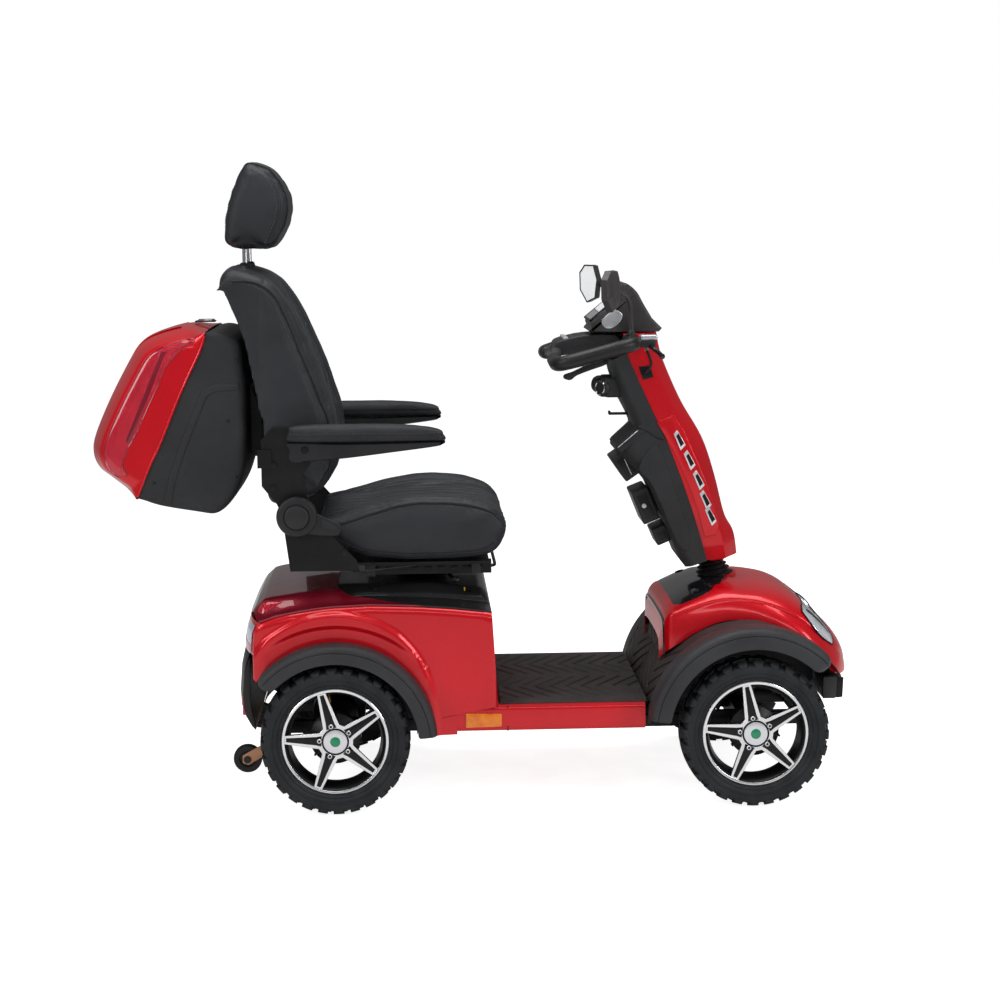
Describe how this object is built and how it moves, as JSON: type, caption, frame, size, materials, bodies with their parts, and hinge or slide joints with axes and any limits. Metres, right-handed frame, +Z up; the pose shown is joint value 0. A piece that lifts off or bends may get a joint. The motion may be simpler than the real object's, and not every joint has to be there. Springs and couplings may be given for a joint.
{
  "type": "mobility scooter",
  "caption": "Four-wheel mobility scooter with a tilting steered tiller, swivelling captain's seat with folding armrests and headrest, and a lidded rear storage box.",
  "frame": {"origin": "centre of the whole object's bounding box, at the ground", "axes": "+X to the scooter's front, +Y to the rider's left, +Z up"},
  "size_m": [1.705, 0.67, 1.4242],
  "materials": {
    "red_paint": "moulded plastic with gloss metallic paint and clear coat",
    "dark_red_paint": "moulded plastic with gloss dark metallic paint",
    "black_plastic": "satin moulded",
    "grey_plastic": "satin moulded",
    "rubber": "matt rubber",
    "leather": "stitched synthetic leather over foam",
    "black_steel": "satin black paint",
    "bronze_paint": "bronze powder coat",
    "chrome": "polished",
    "alloy": "machined face with black inserts",
    "clear_lens": "clear",
    "red_lens": "clear red"
  },
  "bodies": {
    "chassis": {"main_frame": "bronze_paint", "transaxle": "black_steel", "battery_pack": "black_plastic", "floor_pan": "red_paint", "floor_mat": "rubber", "rear_body": "red_paint", "rear_lid": "dark_red_paint", "seat_deck": "black_plastic", "rear_fender_right": "black_plastic", "rear_fender_left": "black_plastic", "front_fender_right": "black_plastic", "front_fender_left": "black_plastic", "front_hood": "red_paint", "front_bumper": "black_plastic", "rear_bumper": "black_plastic", "headlight_right": "clear_lens", "headlight_left": "clear_lens", "tail_light_right": "red_lens", "tail_light_left": "red_lens"},
    "rear_wheel_right": {"rear_right_tyre": "rubber", "rear_right_rim": "alloy"},
    "rear_wheel_left": {"rear_left_tyre": "rubber", "rear_left_rim": "alloy"},
    "front_wheel_right": {"front_right_tyre": "rubber", "front_right_rim": "alloy"},
    "front_wheel_left": {"front_left_tyre": "rubber", "front_left_rim": "alloy"},
    "anti_tip_right": {"anti_tip_wheel_right": "rubber"},
    "anti_tip_left": {"anti_tip_wheel_left": "rubber"},
    "knuckle_right": {"front_knuckle_right": "black_steel"},
    "knuckle_left": {"front_knuckle_left": "black_steel"},
    "tie_rod": {"tie_rod": "black_steel"},
    "steering": {"steering_column": "black_steel", "tiller_bellows": "rubber"},
    "tiller": {"tiller_front_cover": "red_paint", "tiller_rear_cover": "black_plastic", "dash_cowl": "grey_plastic", "handlebar_frame": "black_steel", "brake_hose": "rubber"},
    "mirror_right": {"mirror_right": "grey_plastic"},
    "mirror_left": {"mirror_left": "grey_plastic"},
    "throttle_lever": {"throttle_lever": "black_plastic"},
    "brake_lever": {"brake_lever": "black_steel"},
    "speed_knob": {"speed_knob": "black_plastic"},
    "horn_button": {"horn_button": "black_plastic"},
    "seat_turntable": {"seat_post": "black_steel"},
    "swivel_lever": {"swivel_lever": "black_steel"},
    "seat": {"seat_frame": "black_steel", "seat_cushion": "leather"},
    "slide_lever": {"slide_lever": "black_steel"},
    "backrest": {"backrest_frame": "black_steel", "backrest_cushion": "leather", "box_shell": "black_plastic"},
    "recline_lever": {"recline_lever": "black_plastic"},
    "headrest": {"headrest": "leather", "headrest_posts": "chrome"},
    "armrest_right": {"armrest_right": "black_plastic"},
    "armrest_left": {"armrest_left": "black_plastic"},
    "box_lid": {"box_lid": "red_paint"},
    "box_latch": {"box_latch": "black_plastic"}
  },
  "joints": [
    {"name": "rear_wheel_right_spin", "type": "hinge", "parent": "chassis", "child": "rear_wheel_right", "pos_m": [-0.3115, -0.2875, 0.165], "axis": [0, 1, 0], "continuous": true},
    {"name": "knuckle_right_steer", "type": "hinge", "parent": "chassis", "child": "knuckle_right", "pos_m": [0.6125, -0.222, 0.165], "axis": [0, 0, 1], "range_deg": [-24.1, 24.1]},
    {"name": "front_wheel_right_spin", "type": "hinge", "parent": "knuckle_right", "child": "front_wheel_right", "pos_m": [0.6125, -0.2875, 0.165], "axis": [0, 1, 0], "continuous": true},
    {"name": "anti_tip_right_spin", "type": "hinge", "parent": "chassis", "child": "anti_tip_right", "pos_m": [-0.5115, -0.206, 0.102], "axis": [0, 1, 0], "continuous": true},
    {"name": "rear_wheel_left_spin", "type": "hinge", "parent": "chassis", "child": "rear_wheel_left", "pos_m": [-0.3115, 0.2875, 0.165], "axis": [0, 1, 0], "continuous": true},
    {"name": "knuckle_left_steer", "type": "hinge", "parent": "chassis", "child": "knuckle_left", "pos_m": [0.6125, 0.222, 0.165], "axis": [0, 0, 1], "range_deg": [-24.1, 24.1]},
    {"name": "front_wheel_left_spin", "type": "hinge", "parent": "knuckle_left", "child": "front_wheel_left", "pos_m": [0.6125, 0.2875, 0.165], "axis": [0, 1, 0], "continuous": true},
    {"name": "anti_tip_left_spin", "type": "hinge", "parent": "chassis", "child": "anti_tip_left", "pos_m": [-0.5115, 0.206, 0.102], "axis": [0, 1, 0], "continuous": true},
    {"name": "steering_turn", "type": "hinge", "parent": "chassis", "child": "steering", "pos_m": [0.5605, 0, 0.483], "axis": [-0.1999, 0, 0.9798], "range_deg": [-40, 40]},
    {"name": "tie_rod_shift", "type": "slide", "parent": "chassis", "child": "tie_rod", "axis": [0, 1, 0], "range_m": [-0.0296, 0.0296]},
    {"name": "tiller_tilt", "type": "hinge", "parent": "steering", "child": "tiller", "pos_m": [0.5605, 0, 0.483], "axis": [0, 1, 0], "range_deg": [-17, 15], "deforming": ["tiller_bellows"]},
    {"name": "mirror_right_turn", "type": "hinge", "parent": "tiller", "child": "mirror_right", "pos_m": [0.3565, -0.15, 1.02], "axis": [0, 0, 1], "range_deg": [-30, 30]},
    {"name": "mirror_left_turn", "type": "hinge", "parent": "tiller", "child": "mirror_left", "pos_m": [0.3565, 0.15, 1.02], "axis": [0, 0, 1], "range_deg": [-30, 30]},
    {"name": "throttle_squeeze", "type": "hinge", "parent": "tiller", "child": "throttle_lever", "pos_m": [0.2945, -0.195, 0.98], "axis": [0, 1, 0], "range_deg": [0, 9], "stiffness_Nm_per_rad": 0.6},
    {"name": "brake_squeeze", "type": "hinge", "parent": "tiller", "child": "brake_lever", "pos_m": [0.3915, -0.118, 1.012], "axis": [0, 0, 1], "range_deg": [-8, 0], "stiffness_Nm_per_rad": 1.5},
    {"name": "speed_knob_turn", "type": "hinge", "parent": "tiller", "child": "speed_knob", "pos_m": [0.2785, -0.03, 1.031], "axis": [0, 0, 1], "range_deg": [-135, 135]},
    {"name": "horn_press", "type": "slide", "parent": "tiller", "child": "horn_button", "axis": [0, 0, -1], "range_m": [0, 0.0025], "stiffness_N_per_m": 300},
    {"name": "seat_swivel", "type": "hinge", "parent": "chassis", "child": "seat_turntable", "pos_m": [-0.1145, 0, 0.499], "axis": [0, 0, 1], "range_deg": [-90, 90]},
    {"name": "swivel_lever_pull", "type": "hinge", "parent": "seat_turntable", "child": "swivel_lever", "pos_m": [-0.0595, -0.06, 0.494], "axis": [0, 0, 1], "range_deg": [0, 18], "stiffness_Nm_per_rad": 1},
    {"name": "seat_slide", "type": "slide", "parent": "seat_turntable", "child": "seat", "axis": [1, 0, 0], "range_m": [-0.06, 0.06]},
    {"name": "slide_lever_lift", "type": "hinge", "parent": "seat", "child": "slide_lever", "pos_m": [0.0205, 0, 0.517], "axis": [0, 1, 0], "range_deg": [-10, 0], "stiffness_Nm_per_rad": 3},
    {"name": "backrest_recline", "type": "hinge", "parent": "seat", "child": "backrest", "pos_m": [-0.3875, 0, 0.655], "axis": [0, 1, 0], "range_deg": [-15, 10]},
    {"name": "recline_lever_lift", "type": "hinge", "parent": "seat", "child": "recline_lever", "pos_m": [-0.3875, -0.275, 0.655], "axis": [0, 1, 0], "range_deg": [-25, 0], "stiffness_Nm_per_rad": 2},
    {"name": "headrest_slide", "type": "slide", "parent": "backrest", "child": "headrest", "axis": [0, 0, 1], "range_m": [-0.02, 0.06]},
    {"name": "armrest_right_lift", "type": "hinge", "parent": "backrest", "child": "armrest_right", "pos_m": [-0.3655, -0.284, 0.805], "axis": [0, 1, 0], "range_deg": [-95, 0]},
    {"name": "armrest_left_lift", "type": "hinge", "parent": "backrest", "child": "armrest_left", "pos_m": [-0.3655, 0.284, 0.805], "axis": [0, 1, 0], "range_deg": [-95, 0]},
    {"name": "box_lid_open", "type": "hinge", "parent": "backrest", "child": "box_lid", "pos_m": [-0.7475, 0, 0.684], "axis": [0, 1, 0], "range_deg": [-80, 0]},
    {"name": "box_latch_lift", "type": "hinge", "parent": "box_lid", "child": "box_latch", "pos_m": [-0.6195, 0, 1.07], "axis": [0, 1, 0], "range_deg": [-50, 0]}
  ],
  "couplings": [
    {"joint": "knuckle_right_steer", "follows": "steering_turn", "ratio": 0.6},
    {"joint": "knuckle_left_steer", "follows": "steering_turn", "ratio": 0.6},
    {"joint": "tie_rod_shift", "follows": "steering_turn", "m_per_rad": -0.042}
  ]
}
